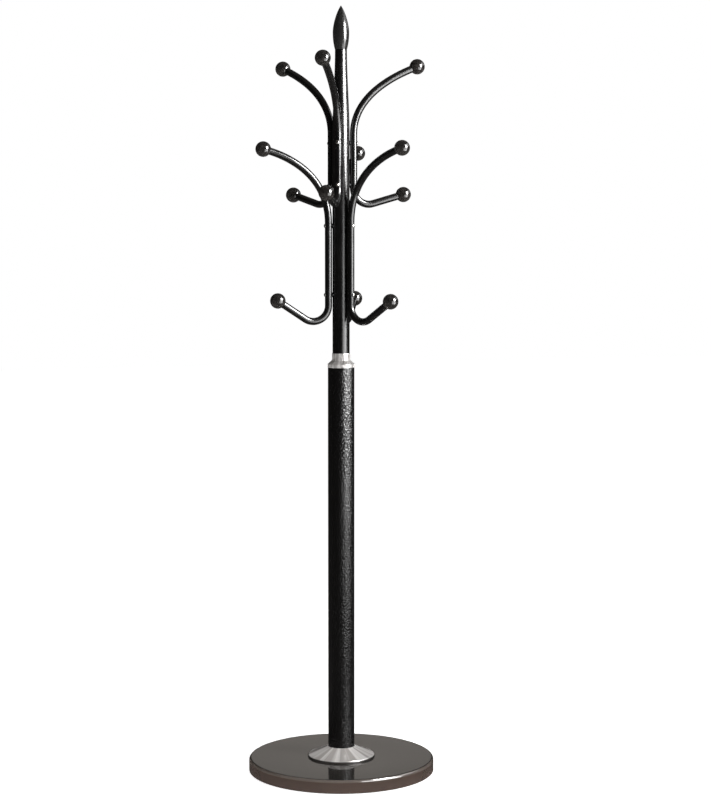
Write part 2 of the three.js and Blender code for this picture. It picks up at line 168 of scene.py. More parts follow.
# What differs between the two sets of three rods. Heights are taken from the CAD balls. An
# arm's curve falls by arm_drop from its ball to the upright, and its handles there and at
# the ball are arm_start and arm_end long.
ROD_SETS = (
    {
        "numbers": (1, 2, 3), "first_turn": 0.0,
        "arm_drop": 155 * MM, "arm_start": 80 * MM, "arm_end": 60 * MM,
        "arm_slope": math.radians(22.5), "hook_slope": math.radians(16),
    },
    {
        "numbers": (4, 5, 6), "first_turn": math.radians(60),
        "arm_drop": 165 * MM, "arm_start": 101 * MM, "arm_end": 58 * MM,
        "arm_slope": math.radians(16), "hook_slope": math.radians(33),
    },
)
STEP_TURN = math.radians(120)        # from one rod of a set to the next


# ------------------------------------------------------------------ materials

# Sockets of a colour Mix node, which share their names with its other kinds.
FACTOR, FIRST, SECOND, MIXED = 0, 6, 7, 2
NOISE_SPAN = (0.35, 0.65)            # a noise seldom leaves this range


def linear(hex_code):
    """An sRGB hex colour as a linear RGBA tuple."""
    channels = []
    for start in (1, 3, 5):
        value = int(hex_code[start:start + 2], 16) / 255
        channels.append(value / 12.92 if value <= 0.04045 else ((value + 0.055) / 1.055) ** 2.4)
    return (*channels, 1.0)


def per(size):
    """Texture scale that gives features of a real size, in metres."""
    return 1 / size


def add_node(tree, kind, inputs=(), output=0, **settings):
    """Adds a node with its settings, sets or links its inputs and gives one of its outputs.

    Inputs are a list from the first socket on, or a dict by socket name or number, and a
    colour among them may be a hex value.
    """
    node = tree.nodes.new("ShaderNode" + kind)
    for name, value in settings.items():
        setattr(node, name, value)
    for name, value in inputs.items() if isinstance(inputs, dict) else enumerate(inputs):
        if isinstance(value, bpy.types.NodeSocket):
            tree.links.new(value, node.inputs[name])
        else:
            node.inputs[name].default_value = linear(value) if isinstance(value, str) else value
    return node.outputs[output] if node.outputs else None


def start_material(name):
    """An empty node material, its tree and its Object coordinates."""
    material = bpy.data.materials.new(name)
    material.use_nodes = True
    tree = material.node_tree
    tree.nodes.clear()
    return material, tree, add_node(tree, "TexCoord", output="Object")


def end_material(material, tree, shade, gloss, **inputs):
    """Closes a material with a Principled shader, its inputs named with _ for a space.

    shade is a factor and the two colours it runs between, and gloss is a noise and the two
    roughnesses it runs between.
    """
    factor, first, second = shade
    noise, smooth, rough = gloss
    named = {name.replace("_", " "): value for name, value in inputs.items()}
    named["Base Color"] = add_node(
        tree, "Mix", {FACTOR: factor, FIRST: first, SECOND: second}, MIXED, data_type="RGBA",
    )
    named["Roughness"] = add_node(tree, "MapRange", [noise, *NOISE_SPAN, smooth, rough])
    add_node(tree, "OutputMaterial", {"Surface": add_node(tree, "BsdfPrincipled", named)})
    return material


def gunmetal_enamel(base):
    """Stoved gloss enamel on pressed sheet steel: a dark grey-brown with a faint metal flake,
    glossy enough to mirror the pole. A paler band over the rounded edge is a painted highlight, and
    the browner, paler upright side is a painted reflection of the warm surroundings. The flake
    strengthens the mirror, so the IOR is higher than a plain enamel's."""
    material, tree, place = start_material("gunmetal_stoved_enamel")
    cloud = add_node(tree, "TexNoise", {
        "Vector": place, "Scale": per(90 * MM), "Detail": 3.0, "Roughness": 0.5,
    })
    flake = add_node(tree, "TexNoise", {"Vector": place, "Scale": per(1.6 * MM), "Detail": 2.0})
    mottle = add_node(tree, "Math", [flake, 0.35, cloud], operation="MULTIPLY_ADD")
    pale = add_node(tree, "MapRange", [mottle, 0.5, 0.85, 0, 1])
    face = add_node(
        tree, "Mix", {FACTOR: pale, FIRST: base.enamel, SECOND: base.enamel_light}, MIXED,
        data_type="RGBA",
    )
    height = add_node(tree, "SeparateXYZ", [place], "Z")
    top = top_of("base_cover")
    # Painted highlight: a paler band over the rounded edge, from 1.4 mm below the top down to where
    # the side begins.
    painted_rim_sheen = add_node(tree, "MapRange", [height, top - 1.4 * MM, top - 0.3 * MM, 1, 0])
    shell = add_node(
        tree, "Mix", {FACTOR: painted_rim_sheen, FIRST: face, SECOND: base.edge}, MIXED, data_type="RGBA",
    )
    bend = top - base.edge_radius
    # Painted reflection: below the edge the upright side is coloured browner and paler than the
    # top.
    upright = add_node(tree, "MapRange", [height, bend - 1.0 * MM, bend + 1.5 * MM, 1, 0])
    peel = add_node(tree, "TexNoise", {"Vector": place, "Scale": per(6 * MM), "Detail": 1.0})
    bump = add_node(tree, "Bump", {"Height": peel, "Strength": 0.04, "Distance": 0.1 * MM})
    return end_material(
        material, tree, (upright, shell, base.side), (cloud, 0.06, 0.1),
        Metallic=0.0, IOR=1.9, Specular_IOR_Level=0.5, Normal=bump,
    )


def spun_chrome(name, base, metallic, ripple, dark, seam):
    """Chrome plate over spun sheet or a turned ring: bright satin metal whose fine lathe rings,
    about 1 mm apart, draw each reflection out into a fan from the centre. The fans are painted
    reflections: paler and darker wedges in the colour, about 22 degrees each. A dark line of
    painted shade runs round the seam at the foot, where the trim meets the piece below. The satin
    scatters much of the light, so it is only partly metallic."""
    material, tree, place = start_material(name)
    height = add_node(tree, "SeparateXYZ", [place], "Z")
    flat = add_node(tree, "VectorMath", [place, (1, 1, 0)], operation="MULTIPLY")
    radius = add_node(tree, "VectorMath", [flat], "Value", operation="LENGTH")
    ring_place = add_node(tree, "CombineXYZ", {"X": radius, "Z": height})
    rings = add_node(tree, "TexNoise", {
        "Vector": ring_place, "Scale": per(0.9 * MM), "Detail": 2.0,
    })
    wipes = add_node(tree, "TexNoise", {
        "Vector": place, "Scale": per(14 * MM), "Detail": 4.0, "Roughness": 0.6,
    })
    around = add_node(tree, "VectorMath", [flat], operation="NORMALIZE")
    fans = add_node(tree, "TexNoise", {
        "Vector": around, "Scale": 2.6, "Detail": 3.0, "Roughness": 0.55,
    })
    # Painted reflection: fans of paler and darker wedges by angle round the axis; dark is the
    # colour of the darker wedges.
    painted_fan_mask = add_node(tree, "MapRange", [fans, 0.44, 0.56, 0, 1])
    plate = add_node(
        tree, "Mix", {FACTOR: painted_fan_mask, FIRST: dark, SECOND: base.chrome}, MIXED, data_type="RGBA",
    )
    # Painted shade: the trim is dark below the seam, where it meets the piece below, and turns to
    # the plate colour over 1.6 mm above it.
    clear = add_node(tree, "MapRange", [height, seam, seam + 1.6 * MM, 0, 1])
    ripples = add_node(tree, "TexNoise", {"Vector": place, "Scale": per(6 * MM), "Detail": 1.0})
    soft = add_node(tree, "Bump", {"Height": ripples, "Strength": 1.0, "Distance": ripple})
    bump = add_node(tree, "Bump", {
        "Height": rings, "Strength": 0.04, "Distance": 0.05 * MM, "Normal": soft,
    })
    return end_material(
        material, tree, (clear, base.painted_foot_shade, plate), (wipes, 0.14, 0.2),
        Metallic=metallic, Anisotropic=0.75, Normal=bump,
        Tangent=add_node(tree, "Tangent", direction_type="RADIAL", axis="Z"),
    )


def leather_grain_coat(pole):
    """Black powder coat with a leather grain: soft pebbles with creases between them, which
    break the light's stripe up into flecks. The pebbles are drawn about 4 mm across, coarser
    than such a coat's, so that they show from the camera."""
    material, tree, place = start_material("leather_grain_powder_coat")
    pull = add_node(tree, "TexNoise", {
        "Vector": place, "Scale": per(9 * MM), "Detail": 2.0,
    }, "Color")
    stray = 1.2 * MM
    pulled = add_node(tree, "VectorMath", [pull, (stray,) * 3, place], operation="MULTIPLY_ADD")
    pebbles = add_node(tree, "TexVoronoi", {"Vector": pulled, "Scale": per(4.2 * MM)})
    fine = add_node(tree, "TexNoise", {"Vector": place, "Scale": per(1.1 * MM), "Detail": 3.0})
    height = add_node(tree, "Math", [fine, 0.35, pebbles], operation="MULTIPLY_ADD")
    bump = add_node(tree, "Bump", {"Height": height, "Strength": 1.0, "Distance": 1.1 * MM})
    return end_material(
        material, tree, (fine, pole.black, "#181717"), (height, 0.12, 0.18),
        Metallic=0.0, IOR=1.5, Specular_IOR_Level=0.23, Normal=bump,
    )


def black_gloss_enamel(name, pole, hammer):
    """Black enamel sprayed on tube: deep black with a hard, bright gloss. Its fine hammered
    skin frays the edges of a highlight, and is drawn about 3 mm wide so that it shows."""
    material, tree, place = start_material(name)
    peel = add_node(tree, "TexNoise", {
        "Vector": place, "Scale": per(2.8 * MM), "Detail": 3.0, "Roughness": 0.6,
    })
    wear = add_node(tree, "TexNoise", {"Vector": place, "Scale": per(30 * MM), "Detail": 4.0})
    bump = add_node(tree, "Bump", {"Height": peel, "Strength": 0.7, "Distance": hammer})
    return end_material(
        material, tree, (wear, pole.black, "#121111"), (wear, 0.2, 0.27),
        Metallic=0.0, IOR=1.5, Specular_IOR_Level=0.5, Normal=bump,
    )


def finial_lacquer(pole):
    """Black lacquer on a cast finial, a little greyer and smoother than the tube."""
    material, tree, place = start_material("finial_black_lacquer")
    cloud = add_node(tree, "TexNoise", {"Vector": place, "Scale": per(12 * MM), "Detail": 3.0})
    peel = add_node(tree, "TexNoise", {"Vector": place, "Scale": per(3 * MM), "Detail": 2.0})
    bump = add_node(tree, "Bump", {"Height": peel, "Strength": 0.1, "Distance": 0.1 * MM})
    return end_material(
        material, tree, (cloud, pole.finial, "#323130"), (cloud, 0.16, 0.22),
        Metallic=0.0, IOR=1.5, Specular_IOR_Level=0.35, Normal=bump,
    )


def ball_lacquer(rods):
    """Lacquered brown-black moulding: mottled in patches of a few millimetres under a
    clear gloss that holds one small bright reflection."""
    material, tree, place = start_material("mottled_ball_lacquer")
    patches = add_node(tree, "TexNoise", {
        "Vector": place, "Scale": per(7 * MM), "Detail": 4.0, "Roughness": 0.65,
    })
    specks = add_node(tree, "TexNoise", {"Vector": place, "Scale": per(1.8 * MM), "Detail": 2.0})
    mixed = add_node(tree, "Math", [specks, 0.5, patches], operation="MULTIPLY_ADD")
    mottle = add_node(tree, "MapRange", [mixed, 0.55, 0.95, 0, 1])
    bump = add_node(tree, "Bump", {"Height": specks, "Strength": 0.06, "Distance": 0.15 * MM})
    return end_material(
        material, tree, (mottle, rods.ball, "#403d3b"), (patches, 0.06, 0.1),
        Metallic=0.0, Specular_IOR_Level=0.5, Normal=bump,
    )


def plated_steel(name, dark, light, smooth, rough, grain):
    """Plated fastener steel: cloudy bright grey with a turned or tumbled grain."""
    material, tree, place = start_material(name)
    cloud = add_node(tree, "TexNoise", {"Vector": place, "Scale": per(grain), "Detail": 4.0})
    bump = add_node(tree, "Bump", {"Height": cloud, "Strength": 0.15, "Distance": 0.1 * MM})
    return end_material(
        material, tree, (cloud, dark, light), (cloud, smooth, rough), Metallic=1.0, Normal=bump,
    )


def sand_cast_iron():
    """Raw grey iron from a sand mould: dark, matt and pitted by grains of sand."""
    material, tree, place = start_material("sand_cast_iron")
    sand = add_node(tree, "TexVoronoi", {"Vector": place, "Scale": per(2.5 * MM)})
    cloud = add_node(tree, "TexNoise", {"Vector": place, "Scale": per(25 * MM), "Detail": 5.0})
    bump = add_node(tree, "Bump", {"Height": sand, "Strength": 0.6, "Distance": 0.5 * MM})
    return end_material(
        material, tree, (cloud, "#2c2b2b", "#4a4642"), (cloud, 0.6, 0.85),
        Metallic=0.7, Normal=bump,
    )


def moulded_matt(name, first, second, smooth, rough, grain):
    """Moulded rubber or nylon: an even colour with the mould's fine spark texture."""
    material, tree, place = start_material(name)
    spark = add_node(tree, "TexNoise", {"Vector": place, "Scale": per(grain), "Detail": 3.0})
    bump = add_node(tree, "Bump", {"Height": spark, "Strength": 0.25, "Distance": 0.15 * MM})
    return end_material(
        material, tree, (spark, first, second), (spark, smooth, rough), Normal=bump,
    )


# ------------------------------------------------------------------ mesh tools

def arc(centre_r, centre_z, radius, start, end, steps):
    """Points of a round corner in a turned profile, as (radius, height); degrees."""
    points = []
    for step in range(steps + 1):
        turn = math.radians(start + (end - start) * step / steps)
        points.append((centre_r + radius * math.cos(turn), centre_z + radius * math.sin(turn)))
    return points


def cubic(p0, p1, p2, p3, steps):
    """Points along a cubic curve in the profile's plane, without the first one."""
    corners = [Vector(p) for p in (p0, p1, p2, p3)]
    points = []
    for step in range(1, steps + 1):
        t = step / steps
        weights = ((1 - t) ** 3, 3 * t * (1 - t) ** 2, 3 * t * t * (1 - t), t ** 3)
        point = sum((w * c for w, c in zip(weights, corners)), Vector((0, 0)))
        points.append((point.x, point.y))
    return points


def spin_profile(bm, profile, steps, closed=True):
    """Turns a profile of (radius, height) points once round the Z axis. A closed profile
    runs back to its first point."""
    verts = [bm.verts.new((radius, 0, height)) for radius, height in profile]
    pairs = list(zip(verts, verts[1:]))
    if closed:
        pairs.append((verts[-1], verts[0]))
    edges = [bm.edges.new(pair) for pair in pairs]
    bmesh.ops.spin(
        bm, geom=verts + edges, cent=(0, 0, 0), axis=(0, 0, 1), dvec=(0, 0, 0),
        angle=FULL_TURN, steps=steps, use_merge=True,
    )
    bmesh.ops.remove_doubles(bm, verts=bm.verts, dist=MERGE)
    bmesh.ops.recalc_face_normals(bm, faces=bm.faces)


def make_piece(bm, name, material, body, slot, *nodes):
    """Turns a bmesh into a finished piece that rides on a body and stands for CAD nodes."""
    mesh = bpy.data.meshes.new(name)
    for face in bm.faces:
        face.smooth = True
    bm.to_mesh(mesh)
    bm.free()
    mesh.set_sharp_from_angle(angle=SHARP_ANGLE)
    mesh.materials.append(material)
    piece = bpy.data.objects.new(name, mesh)
    bpy.context.scene.collection.objects.link(piece)
    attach(piece, body)
    if nodes:
        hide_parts(*nodes)


def station_matrix(station):
    """A frame whose Z runs along the rod at a station of its centre line."""
    (radius, height), lean = station
    return Matrix.Translation((radius, 0, height)) @ Matrix.Rotation(lean, 4, "Y")


def sweep(bm, radius, sides, stations):
    """Carries a round section along the stations and closes both ends."""
    matrices = [station_matrix(station) for station in stations]
    bmesh.ops.create_circle(bm, cap_ends=False, segments=sides, radius=radius, matrix=matrices[0])
    first_loop = list(bm.edges)
    loop = first_loop
    for here, there in zip(matrices, matrices[1:]):
        grown = bmesh.ops.extrude_edge_only(bm, edges=loop)["geom"]
        verts = [item for item in grown if isinstance(item, bmesh.types.BMVert)]
        edges = [item for item in grown if isinstance(item, bmesh.types.BMEdge)]
        loop = [edge for edge in edges if all(vert in verts for vert in edge.verts)]
        bmesh.ops.transform(bm, matrix=there @ here.inverted(), verts=verts)
    for ring in (first_loop, loop):
        bmesh.ops.edgeloop_fill(bm, edges=ring)
    bmesh.ops.recalc_face_normals(bm, faces=bm.faces)


def move(bm, matrix):
    """Puts a whole mesh in its place."""
    bmesh.ops.transform(bm, matrix=matrix, verts=bm.verts)


# ------------------------------------------------------------------ rods

ARM_STEPS = 40                       # stations along an arm's curve
BEND_STEPS = 28                      # stations round a hook's bend
ROD_SIDES = 32


def rod_places(rods, rod_set):
    """Centres of a set's two balls in the rod's plane, read from the CAD balls."""
    number = rod_set["numbers"][0]
    arm_ball = Vector((rods.arm_reach, top_of(f"arm_knob_{number}") - rods.ball_diameter / 2))
    hook_ball = Vector((rods.hook_reach, top_of(f"hook_knob_{number}") - rods.ball_diameter / 2))
    return arm_ball, hook_ball


def rod_stations(rods, rod_set):
    """Centre line of a rod from its arm's ball down to its hook's ball: each station is a
    point (radius, height) and the lean of the rod there."""
    arm_ball, hook_ball = rod_places(rods, rod_set)
    arm_slope, hook_slope = rod_set["arm_slope"], rod_set["hook_slope"]
    out_arm = Vector((math.cos(arm_slope), math.sin(arm_slope)))
    out_hook = Vector((math.cos(hook_slope), math.sin(hook_slope)))
    rod_end = rods.ball_seat + GAP
    top = arm_ball - out_arm * rod_end
    root = Vector((rods.axis_radius, arm_ball.y - rod_set["arm_drop"]))
    points = [tuple(top)] + cubic(
        top, top - out_arm * rod_set["arm_end"], root + Vector((0, rod_set["arm_start"])), root,
        ARM_STEPS,
    )
    bend_run = rods.axis_radius + rods.bend_radius * (1 + math.sin(hook_slope))
    bend_end_z = hook_ball.y - (rods.hook_reach - bend_run) * math.tan(hook_slope)
    bend_z = bend_end_z + rods.bend_radius * math.cos(hook_slope)
    points += arc(
        rods.axis_radius + rods.bend_radius, bend_z, rods.bend_radius,
        180, 270 + math.degrees(hook_slope), BEND_STEPS,
    )
    points.append(tuple(hook_ball - out_hook * rod_end))
    stations = []
    for index, point in enumerate(points):
        before = Vector(points[max(index - 1, 0)])
        after = Vector(points[min(index + 1, len(points) - 1)])
        run = after - before
        stations.append((point, math.atan2(run.x, run.y)))
    stations[0] = (points[0], math.atan2(-out_arm.x, -out_arm.y))
    stations[-1] = (points[-1], math.atan2(out_hook.x, out_hook.y))
    return stations


def each_rod():
    """Every rod's number, its set and its turn round the pole."""
    for rod_set in ROD_SETS:
        for index, number in enumerate(rod_set["numbers"]):
            yield number, rod_set, rod_set["first_turn"] + index * STEP_TURN


def screw_height(kind, number):
    """Height of the middle of a CAD screw."""
    low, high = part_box(f"{kind}_screw_{number}")
    return (low.z + high.z) / 2


# ------------------------------------------------------------------ operators

PAD_SIDES, FASTENER_SIDES = 48, 36   # facets round the small turned pieces
BALL_SIDES, BALL_RINGS = 56, 36      # facets round a ball and from pole to pole


class CoatRackOperator:
    """Shared by the operators: undo, and the facets of the turned pieces."""

    bl_options = {"REGISTER", "UNDO"}

    @property
    def steps(self):
        """Facets round a turned piece."""
        return bpy.context.scene.coat_rack_stage.spin_steps


class COATRACK_OT_base_shell(CoatRackOperator, bpy.types.Operator):
    """Spin the base's enamelled shell with its rounded edge and rolled hem"""

    bl_idname = "coatrack.base_shell"
    bl_label = "Base Shell"

    def execute(self, context):
        base = context.scene.coat_rack_base
        rim = width_of("base_cover") / 2
        top, foot = top_of("base_cover"), bottom_of("base_cover")
        edge, sheet, curl = base.edge_radius, base.sheet, base.foot_radius
        bore = 5.6 * MM
        middle = rim * 0.6               # a ring that keeps the flat top's faces short
        profile = [
            *arc(rim - curl, foot + curl, curl, -90, 0, 4),
            *arc(rim - edge, top - edge, edge, 0, 90, 14),
            (middle, top),
            (bore, top),
            (bore, top - sheet),
            (middle, top - sheet),
            *arc(rim - edge, top - edge, edge - sheet, 90, 0, 8),
            (rim - sheet, foot),
        ]
        bm = bmesh.new()
        spin_profile(bm, profile, 2 * self.steps)
        make_piece(bm, "base_shell", gunmetal_enamel(base), "stand", "base_enamel", "base_cover")
        return {"FINISHED"}


class COATRACK_OT_flange(CoatRackOperator, bpy.types.Operator):
    """Spin the chromed flange that covers the foot of the pole"""

    bl_idname = "coatrack.flange"
    bl_label = "Foot Flange"

    def execute(self, context):
        base = context.scene.coat_rack_base
        rim = width_of("base_flange") / 2
        foot, crown = bottom_of("base_flange"), top_of("base_flange")
        bore = width_of("lower_pole") / 2 + SLIP
        wall = base.sheet * 0.85         # spinning draws the sheet thinner
        lip = foot + base.lip_height
        brim_r, brim_z = rim - base.brim_width, lip + base.brim_rise
        hem, shoulder, mouth = 0.3 * MM, 1.2 * MM, 1.1 * MM
        # Top of the painted shade line round the flange's foot.
        seam = lip - 0.6 * MM
        profile = [
            (rim - wall, foot),
            *arc(rim - hem, foot + hem, hem, -90, 0, 2),
            *arc(rim - shoulder, lip - 1.0 * MM, shoulder, 0, 78, 6),
            *cubic(
                (rim - shoulder, lip + 0.2 * MM), (brim_r + 5 * MM, brim_z - 0.6 * MM),
                (brim_r + 1 * MM, brim_z - 0.1 * MM), (brim_r - 3 * MM, brim_z + 1.6 * MM), 8,
            ),
            (bore + 3.2 * MM, crown - 2.0 * MM),
            *arc(bore + mouth, crown - mouth, mouth, 48, 180, 6),
            (bore, crown - 2.2 * MM),
            (brim_r - 3.4 * MM, brim_z + 0.6 * MM),
            (brim_r, brim_z - 1.2 * MM),
            (rim - wall, lip - 1.4 * MM),
        ]
        bm = bmesh.new()
        spin_profile(bm, profile, self.steps)
        # dark is the colour of the painted darker reflection wedges.
        chrome = spun_chrome(
            "spun_chrome_plate", base, metallic=0.35, ripple=0.2 * MM, dark="#bcb8b5", seam=seam,
        )
        make_piece(bm, "foot_flange", chrome, "stand", "chrome_trim", "base_flange")
        return {"FINISHED"}


class COATRACK_OT_pads(CoatRackOperator, bpy.types.Operator):
    """Make the rubber pads under the base"""

    bl_idname = "coatrack.pads"
    bl_label = "Foot Pads"

    def execute(self, context):
        rubber = moulded_matt(
            "moulded_black_rubber", "#141414", "#232322", smooth=0.75, rough=0.95, grain=1.2 * MM,
        )
        edge, groove = 0.8 * MM, 0.4 * MM
        for number in range(1, 5):
            node = f"foot_pad_{number}"
            low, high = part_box(node)
            centre = (low + high) / 2
            radius, height = (high.x - low.x) / 2, high.z - low.z
            bm = bmesh.new()
            spin_profile(bm, [
                (0, 0), (radius * 0.55, 0), (radius * 0.6, groove), (radius * 0.72, groove),
                (radius * 0.77, 0), *arc(radius - edge, edge, edge, -90, 0, 5),
                (radius, height), (0, height),
            ], PAD_SIDES, closed=False)
            move(bm, Matrix.Translation((centre.x, centre.y, low.z)))
            make_piece(bm, f"rubber_pad_{number}", rubber, "stand", "foot_rubber", node)
        return {"FINISHED"}


class COATRACK_OT_lower_tube(CoatRackOperator, bpy.types.Operator):
    """Spin the thick lower pole with its leather-grained coat"""

    bl_idname = "coatrack.lower_tube"
    bl_label = "Lower Pole"

    def execute(self, context):
        pole = context.scene.coat_rack_pole
        outside = width_of("lower_pole") / 2
        inside = outside - 1.5 * MM      # the tube's wall
        foot = bottom_of("lower_pole")
        bend = 0.5 * MM
        profile = [
            (inside, foot),
            *arc(outside - bend, foot + bend, bend, -90, 0, 3),
            *arc(outside - bend, LOWER_POLE_TOP - bend, bend, 0, 90, 3),
            (inside, LOWER_POLE_TOP),
        ]
        bm = bmesh.new()
        spin_profile(bm, profile, self.steps)
        make_piece(
            bm, "lower_tube", leather_grain_coat(pole), "stand", "pole_leather_grain", "lower_pole",
        )
        return {"FINISHED"}


class COATRACK_OT_collar(CoatRackOperator, bpy.types.Operator):
    """Spin the chromed collar between the two poles"""

    bl_idname = "coatrack.collar"
    bl_label = "Reducer Collar"

    def execute(self, context):
        pole = context.scene.coat_rack_pole
        rim = width_of("reducer_collar") / 2
        bore = width_of("upper_pole") / 2 + SLIP
        neck = bore + pole.neck_wall
        seat = LOWER_POLE_TOP + GAP
        rim_top = LOWER_POLE_TOP + pole.rim_height
        flare_top = rim_top + pole.flare_height
        spigot = width_of("lower_pole") / 2 - 1.8 * MM
        foot = bottom_of("reducer_collar")
        wall = 2.2 * MM
        burr, edge = 0.4 * MM, 0.9 * MM
        flare_end = (neck + 2.6 * MM, flare_top - 1.8 * MM)
        profile = [
            (spigot - wall, foot),
            (spigot, foot),
            (spigot, seat),
            *arc(rim - burr, seat + burr, burr, -90, 0, 3),
            *arc(rim - edge, rim_top - edge, edge, 0, 60, 5),
            flare_end,
            *cubic(
                flare_end, (neck + 1.0 * MM, flare_top - 0.6 * MM),
                (neck + 0.1 * MM, flare_top + 0.5 * MM), (neck, flare_top + 2.6 * MM), 6,
            ),
            (neck, COLLAR_TOP - burr),
            (neck - 0.25 * MM, COLLAR_TOP),
            (bore + 0.1 * MM, COLLAR_TOP),
            (bore, COLLAR_TOP - burr),
            (bore, flare_top - wall),
            (spigot - wall, rim_top - wall),
        ]
        bm = bmesh.new()
        spin_profile(bm, profile, self.steps)
        # dark is the colour of the painted darker reflection wedges.
        chrome = spun_chrome(
            "turned_satin_chrome", context.scene.coat_rack_base, metallic=0.15,
            ripple=2.0 * MM, dark="#bfbcba", seam=foot,
        )
        make_piece(bm, "collar_turned", chrome, "stand", "chrome_trim", "reducer_collar")
        return {"FINISHED"}


class COATRACK_OT_upper_tube(CoatRackOperator, bpy.types.Operator):
    """Spin the thin upper pole with its swaged top"""

    bl_idname = "coatrack.upper_tube"
    bl_label = "Upper Pole"

    def execute(self, context):
        pole = context.scene.coat_rack_pole
        outside = width_of("upper_pole") / 2
        tip = pole.tip_diameter / 2
        wall = 1.2 * MM
        start = POLE_TOP - pole.taper_length
        rings = 24
        taper = []
        for ring in range(1, rings + 1):
            share = ring / rings
            ease = share * share * (3 - 2 * share)
            taper.append((outside + (tip - outside) * ease, start + pole.taper_length * share))
        profile = [
            (outside - wall, bottom_of("upper_pole")),
            (outside, bottom_of("upper_pole")),
            (outside, start),
            *taper,
            *[(radius - wall, height) for radius, height in reversed(taper)],
            (outside - wall, start),
        ]
        bm = bmesh.new()
        spin_profile(bm, profile, self.steps)
        enamel = black_gloss_enamel("sprayed_black_pole_enamel", pole, hammer=0.4 * MM)
        make_piece(bm, "upper_tube", enamel, "head", "head_black_enamel", "upper_pole")
        return {"FINISHED"}


class COATRACK_OT_finial(CoatRackOperator, bpy.types.Operator):
    """Spin the acorn finial on top of the pole"""

    bl_idname = "coatrack.finial"
    bl_label = "Finial"

    def execute(self, context):
        pole = context.scene.coat_rack_pole
        tip = top_of("finial")
        foot = POLE_TOP + GAP
        belly = width_of("finial") / 2
        widest = POLE_TOP + pole.finial_widest
        foot_r = pole.tip_diameter / 2 + 0.2 * MM
        spigot = pole.tip_diameter / 2 - 1.5 * MM
        chamfer = 0.3 * MM
        profile = [
            (0, bottom_of("finial")),
            (spigot, bottom_of("finial")),
            (spigot, foot),
            (foot_r - chamfer, foot),
            (foot_r, foot + chamfer),
            *cubic(
                (foot_r, foot + chamfer), (foot_r + 2.5 * MM, foot + 9 * MM),
                (belly, widest - 18 * MM), (belly, widest), 14,
            ),
            *cubic(
                (belly, widest), (belly, widest + 18 * MM), (belly * 0.54, tip - 14 * MM),
                (0.4 * MM, tip - 0.3 * MM), 24,
            ),
            (0, tip),
        ]
        bm = bmesh.new()
        spin_profile(bm, profile, self.steps, closed=False)
        make_piece(bm, "finial_turned", finial_lacquer(pole), "head", "finial_lacquer", "finial")
        return {"FINISHED"}


class COATRACK_OT_rods(CoatRackOperator, bpy.types.Operator):
    """Bend the six rods, each with an arm above and a hook below"""

    bl_idname = "coatrack.rods"
    bl_label = "Bent Rods"

    def execute(self, context):
        rods = context.scene.coat_rack_rods
        pole = context.scene.coat_rack_pole
        enamel = black_gloss_enamel("sprayed_black_rod_enamel", pole, hammer=0.2 * MM)
        for number, rod_set, turn in each_rod():
            bm = bmesh.new()
            sweep(bm, rods.diameter / 2, ROD_SIDES, rod_stations(rods, rod_set))
            move(bm, Matrix.Rotation(turn, 4, "Z"))
            make_piece(
                bm, f"bent_rod_{number}", enamel, "head", "head_black_enamel", f"hook_rod_{number}",
            )
        return {"FINISHED"}


class COATRACK_OT_balls(CoatRackOperator, bpy.types.Operator):
    """Make the twelve ball knobs, each flattened where its rod enters"""

    bl_idname = "coatrack.balls"
    bl_label = "Ball Knobs"

    def execute(self, context):
        rods = context.scene.coat_rack_rods
        lacquer = ball_lacquer(rods)
        flat_rim, dish = 2.2 * MM, 1.2 * MM          # of the seat that meets the rod
        for number, rod_set, turn in each_rod():
            arm_ball, hook_ball = rod_places(rods, rod_set)
            for kind, centre, slope in (
                ("arm", arm_ball, rod_set["arm_slope"]),
                ("hook", hook_ball, rod_set["hook_slope"]),
            ):
                bm = bmesh.new()
                bmesh.ops.create_uvsphere(
                    bm, u_segments=BALL_SIDES, v_segments=BALL_RINGS,
                    radius=rods.ball_diameter / 2,
                )
                bmesh.ops.bisect_plane(
                    bm, geom=bm.verts[:] + bm.edges[:] + bm.faces[:], dist=MERGE,
                    plane_co=(0, 0, -rods.ball_seat), plane_no=(0, 0, -1), clear_outer=True,
                )
                rim = [edge for edge in bm.edges if edge.is_boundary]
                face = bmesh.ops.contextual_create(bm, geom=rim)["faces"][0]
                bmesh.ops.inset_individual(bm, faces=[face], thickness=flat_rim, depth=0)
                bmesh.ops.translate(bm, verts=face.verts, vec=(0, 0, dish))
                bmesh.ops.recalc_face_normals(bm, faces=bm.faces)
                lean = Matrix.Rotation(math.pi / 2 - slope, 4, "Y")
                place = Matrix.Translation((centre.x, 0, centre.y))
                move(bm, Matrix.Rotation(turn, 4, "Z") @ place @ lean)
                make_piece(
                    bm, f"{kind}_ball_{number}", lacquer, "head", "knob_lacquer",
                    f"{kind}_knob_{number}",
                )
        return {"FINISHED"}


